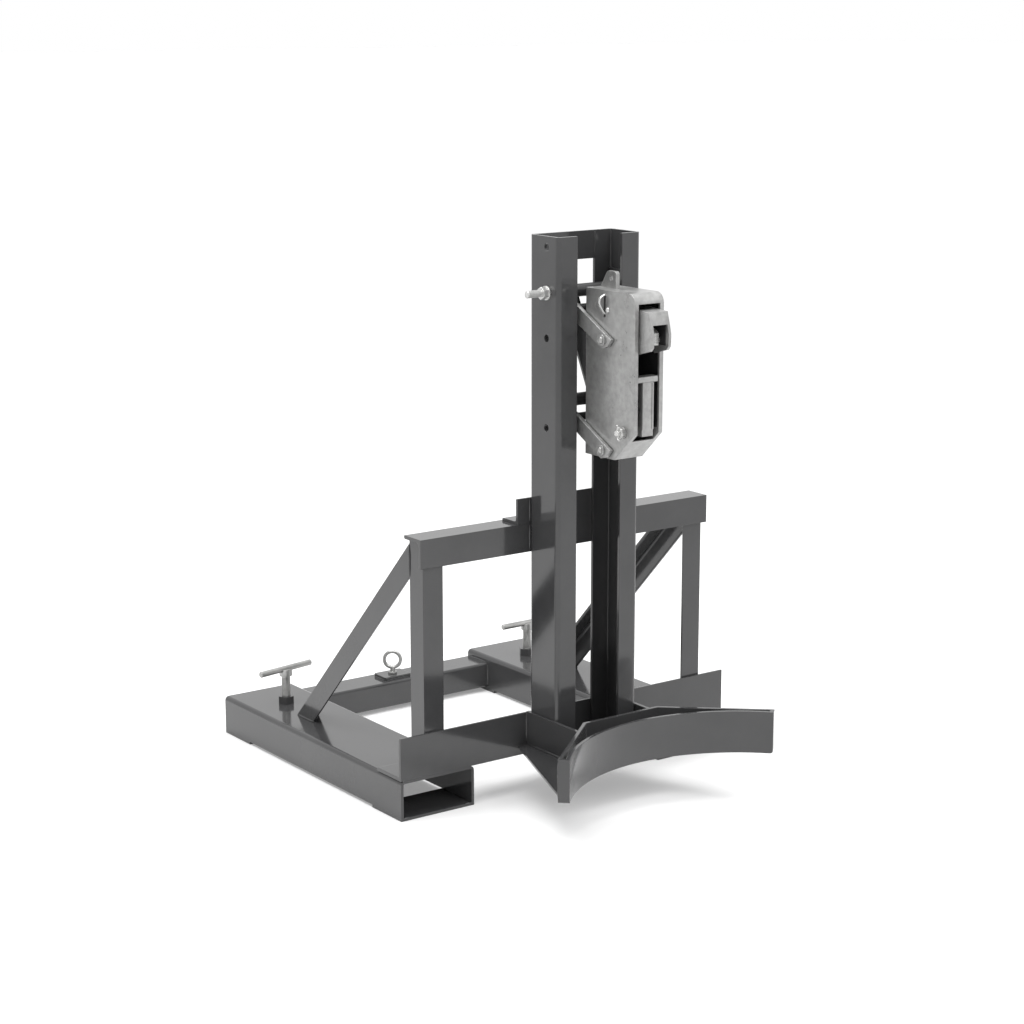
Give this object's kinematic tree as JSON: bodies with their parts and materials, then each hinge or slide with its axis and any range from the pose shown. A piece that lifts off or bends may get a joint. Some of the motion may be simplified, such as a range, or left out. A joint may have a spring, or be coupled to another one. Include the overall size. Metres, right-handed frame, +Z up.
{
  "type": "drum lifter",
  "caption": "Fork truck attachment with fork pockets, a mast with a hinged rim gripping head and a curved saddle, for lifting a standing steel drum.",
  "frame": {"origin": "on the floor, under the middle of the whole lifter's outline seen from above", "axes": "+Z up along the mast, +Y towards the truck that carries the lifter, the drum stands on the -Y side, +X to the right seen from the drum's side"},
  "size_m": [0.71, 0.902, 0.978],
  "materials": {
    "frame_paint": "gloss",
    "zinc": "satin",
    "black_steel": "gloss",
    "bolt_zinc": "satin"
  },
  "bodies": {
    "frame": {"fork_pocket_left": "frame_paint", "fork_pocket_right": "frame_paint", "front_strap_left": "frame_paint", "front_strap_right": "frame_paint", "rear_strap_left": "frame_paint", "rear_strap_right": "frame_paint", "front_crossbar": "frame_paint", "rear_crossbar": "frame_paint", "upright_left": "frame_paint", "upright_right": "frame_paint", "upper_crossbar": "frame_paint", "brace_left": "frame_paint", "brace_right": "frame_paint", "mast_channel_left": "frame_paint", "mast_channel_right": "frame_paint", "mast_spacer": "frame_paint", "mast_bracket": "frame_paint", "saddle_band": "frame_paint", "saddle_back_plate": "frame_paint", "saddle_base_plate": "frame_paint", "cheek_plate_left": "frame_paint", "cheek_plate_right": "frame_paint", "weld_nuts": "frame_paint", "chain_eye_plate": "frame_paint", "chain_eyebolt": "bolt_zinc", "chain_eye_nut": "bolt_zinc", "carriage_side_left": "black_steel", "carriage_side_right": "black_steel", "carriage_upper_tube": "black_steel", "carriage_lower_tube": "black_steel", "pivot_rods": "black_steel", "carriage_tie": "black_steel", "pivot_collars": "black_steel", "height_bolt": "bolt_zinc", "height_bolt_washers": "bolt_zinc", "height_bolt_nut": "bolt_zinc"},
    "upper_link": {"upper_arm_left": "zinc", "upper_arm_right": "zinc", "upper_arm_web": "zinc", "upper_arm_pin": "zinc"},
    "lower_link": {"lower_arm_left": "zinc", "lower_arm_right": "zinc", "lower_arm_web": "zinc", "lower_arm_pin": "zinc"},
    "gripping_head": {"head_shell": "zinc", "head_lug": "zinc", "release_clip": "bolt_zinc", "beak_pin": "zinc", "beak_stop": "zinc", "lever_pin": "zinc"},
    "beak": {"grip_beak": "zinc", "beak_tooth_pin": "zinc", "beak_tooth": "bolt_zinc"},
    "lever": {"pressure_lever": "zinc"},
    "pad_left": {"screw_pad_left": "bolt_zinc"},
    "pad_right": {"screw_pad_right": "bolt_zinc"},
    "screw_left": {"screw_spindle_left": "bolt_zinc", "screw_handle_left": "bolt_zinc"},
    "screw_right": {"screw_spindle_right": "bolt_zinc", "screw_handle_right": "bolt_zinc"}
  },
  "joints": [
    {"name": "upper_arm_swing", "type": "hinge", "parent": "frame", "child": "upper_link", "pos_m": [0, -0.21102, 0.8545], "axis": [-1, 0, 0], "range_deg": [0, 33]},
    {"name": "lower_arm_swing", "type": "hinge", "parent": "frame", "child": "lower_link", "pos_m": [0, -0.21102, 0.6695], "axis": [-1, 0, 0], "range_deg": [-0.1, 33.1]},
    {"name": "head_level", "type": "hinge", "parent": "upper_link", "child": "gripping_head", "pos_m": [0, -0.29402, 0.811], "axis": [-1, 0, 0], "range_deg": [-33.1, 0.1]},
    {"name": "beak_swing", "type": "hinge", "parent": "gripping_head", "child": "beak", "pos_m": [0, -0.27102, 0.866], "axis": [-1, 0, 0], "range_deg": [0, 5]},
    {"name": "lever_swing", "type": "hinge", "parent": "gripping_head", "child": "lever", "pos_m": [0, -0.34202, 0.662], "axis": [-1, 0, 0], "range_deg": [0, 8]},
    {"name": "pad_travel_left", "type": "slide", "parent": "frame", "child": "pad_left", "axis": [0, 0, -1], "range_m": [0, 0.035]},
    {"name": "screw_turn_left", "type": "hinge", "parent": "pad_left", "child": "screw_left", "pos_m": [-0.28, 0.34998, 0.1], "axis": [0, 0, -1], "range_deg": [-1, 6301]},
    {"name": "pad_travel_right", "type": "slide", "parent": "frame", "child": "pad_right", "axis": [0, 0, -1], "range_m": [0, 0.035]},
    {"name": "screw_turn_right", "type": "hinge", "parent": "pad_right", "child": "screw_right", "pos_m": [0.28, 0.34998, 0.1], "axis": [0, 0, -1], "range_deg": [-1, 6301]}
  ],
  "couplings": [
    {"joint": "lower_arm_swing", "follows": "upper_arm_swing", "ratio": 1},
    {"joint": "head_level", "follows": "upper_arm_swing", "ratio": -1},
    {"joint": "screw_turn_left", "follows": "pad_travel_left", "rad_per_m": 3141.6},
    {"joint": "screw_turn_right", "follows": "pad_travel_right", "rad_per_m": 3141.6}
  ]
}
